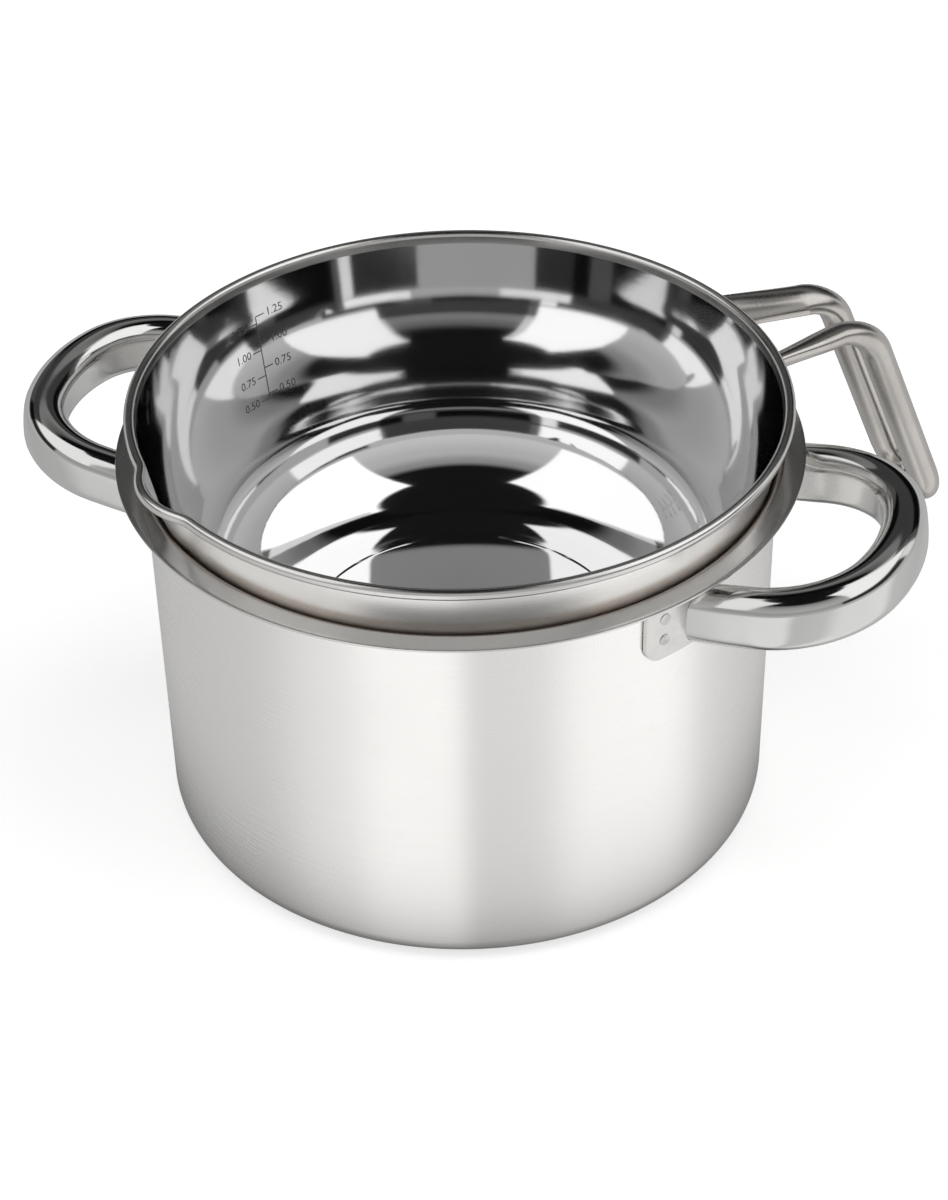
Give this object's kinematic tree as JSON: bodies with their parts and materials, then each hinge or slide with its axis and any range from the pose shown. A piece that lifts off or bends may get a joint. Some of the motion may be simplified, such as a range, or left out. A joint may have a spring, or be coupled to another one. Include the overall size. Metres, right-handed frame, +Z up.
{
  "type": "double boiler",
  "caption": "Stainless double boiler: straight-walled pot with tube side handles, and a pouring bowl with spout and drop handle seated in its mouth.",
  "frame": {"origin": "centre of the pot's underside, on the surface that the pot stands on", "axes": "+Z up along the pot's axis; +X through the middle of the right pot handle; the bowl's handle lies 47 degrees from +X towards +Y and its spout is opposite"},
  "size_m": [0.276, 0.2281, 0.136],
  "materials": {
    "pot_steel": "satin stainless sheet, brushed outside",
    "bowl_steel": "stainless sheet, brushed outside and mirror polished inside",
    "polished_tube": "mirror-polished stainless tube",
    "satin_tube": "satin stainless tube",
    "tab_steel": "satin stainless plate",
    "weld_steel": "spot weld marks"
  },
  "bodies": {
    "pot": {"pot_body": "pot_steel", "pot_handle_right": "polished_tube", "pot_handle_left": "polished_tube", "pot_tab_right_front": "tab_steel", "pot_tab_right_rear": "tab_steel", "pot_tab_left_front": "tab_steel", "pot_tab_left_rear": "tab_steel", "pot_welds_right": "weld_steel", "pot_welds_left": "weld_steel"},
    "bowl": {"bowl_body": "bowl_steel", "bowl_handle": "satin_tube", "bowl_tab_front": "tab_steel", "bowl_tab_rear": "tab_steel", "bowl_welds": "weld_steel"}
  },
  "joints": [
    {"name": "bowl_lift", "type": "slide", "parent": "pot", "child": "bowl", "axis": [0, 0, 1], "range_m": [0, 0.11]}
  ]
}
